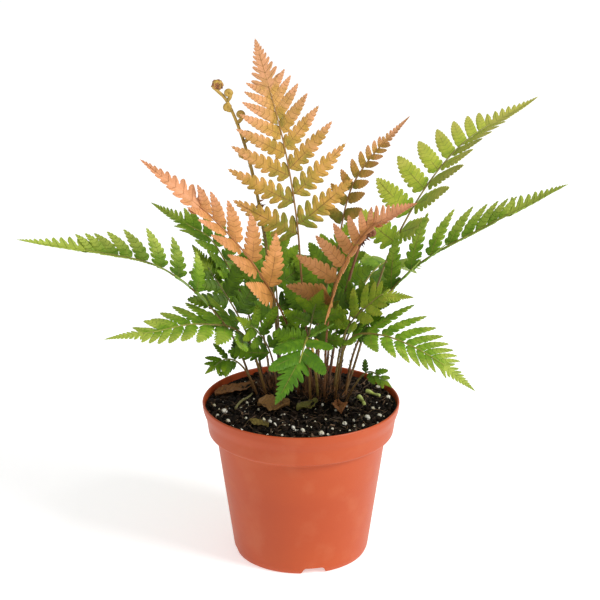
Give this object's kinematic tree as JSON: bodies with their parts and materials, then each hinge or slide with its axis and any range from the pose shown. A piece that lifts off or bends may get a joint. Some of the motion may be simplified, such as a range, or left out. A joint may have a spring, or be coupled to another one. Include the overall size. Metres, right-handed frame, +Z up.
{
  "type": "potted autumn fern",
  "caption": "Young shield fern with arching feathery fronds, coppery when new and green when older, growing from peat in a tapered round plastic nursery pot.",
  "frame": {"origin": "Centre of the flat middle of the pot's underside, on the pot's axis.", "axes": "+Z up along the pot axis; the front of the plant, as pictured, faces -Y; +X is to the right seen from the front."},
  "size_m": [0.3473, 0.2324, 0.344],
  "materials": {
    "pot_plastic": "satin moulded terracotta-coloured plastic",
    "peat": "moist dark peat with white perlite grains",
    "rhizome": "dull, scaly and fibrous",
    "copper_frond": "soft satin young leaf",
    "orange_frond": "soft satin young leaf",
    "lime_frond": "satin leaf",
    "green_frond": "satin leathery leaf",
    "dark_frond": "satin leathery leaf",
    "new_shoot": "dull, with papery scales",
    "dead_leaf": "dry and dull",
    "pale_twig": "dry and dull"
  },
  "bodies": {
    "root": {"pot": "pot_plastic", "soil": "peat", "crown_left": "rhizome", "crown_right": "rhizome", "frond_copper_tall": "copper_frond", "frond_copper_left": "orange_frond", "frond_copper_right": "orange_frond", "frond_copper_small": "copper_frond", "frond_lime_upper_right": "lime_frond", "frond_green_front_right": "green_frond", "frond_green_front_left": "green_frond", "frond_green_front_centre": "green_frond", "frond_green_right": "green_frond", "frond_green_long_left": "green_frond", "frond_green_back_left": "green_frond", "frond_lime_middle_right": "lime_frond", "frond_dark_front_left": "dark_frond", "frond_dark_front_right": "dark_frond", "frond_dark_middle_left": "dark_frond", "frond_dark_middle": "dark_frond", "frond_dark_middle_right": "dark_frond", "frond_dark_centre": "dark_frond", "frond_dark_right": "dark_frond", "frond_dark_low_left": "dark_frond", "frond_dark_low_right": "dark_frond", "frond_green_back_right": "green_frond", "frond_green_back": "green_frond", "frond_green_back_low_left": "green_frond", "crozier_tall": "new_shoot", "crozier_small": "new_shoot", "bud_withered": "dead_leaf", "litter_leaf_left": "dead_leaf", "litter_leaf_front": "dead_leaf", "litter_leaf_centre": "dead_leaf", "litter_leaf_rim": "dead_leaf", "litter_leaf_right": "dead_leaf", "twig": "pale_twig", "stub_front": "pale_twig", "stub_back": "pale_twig"}
  },
  "joints": []
}
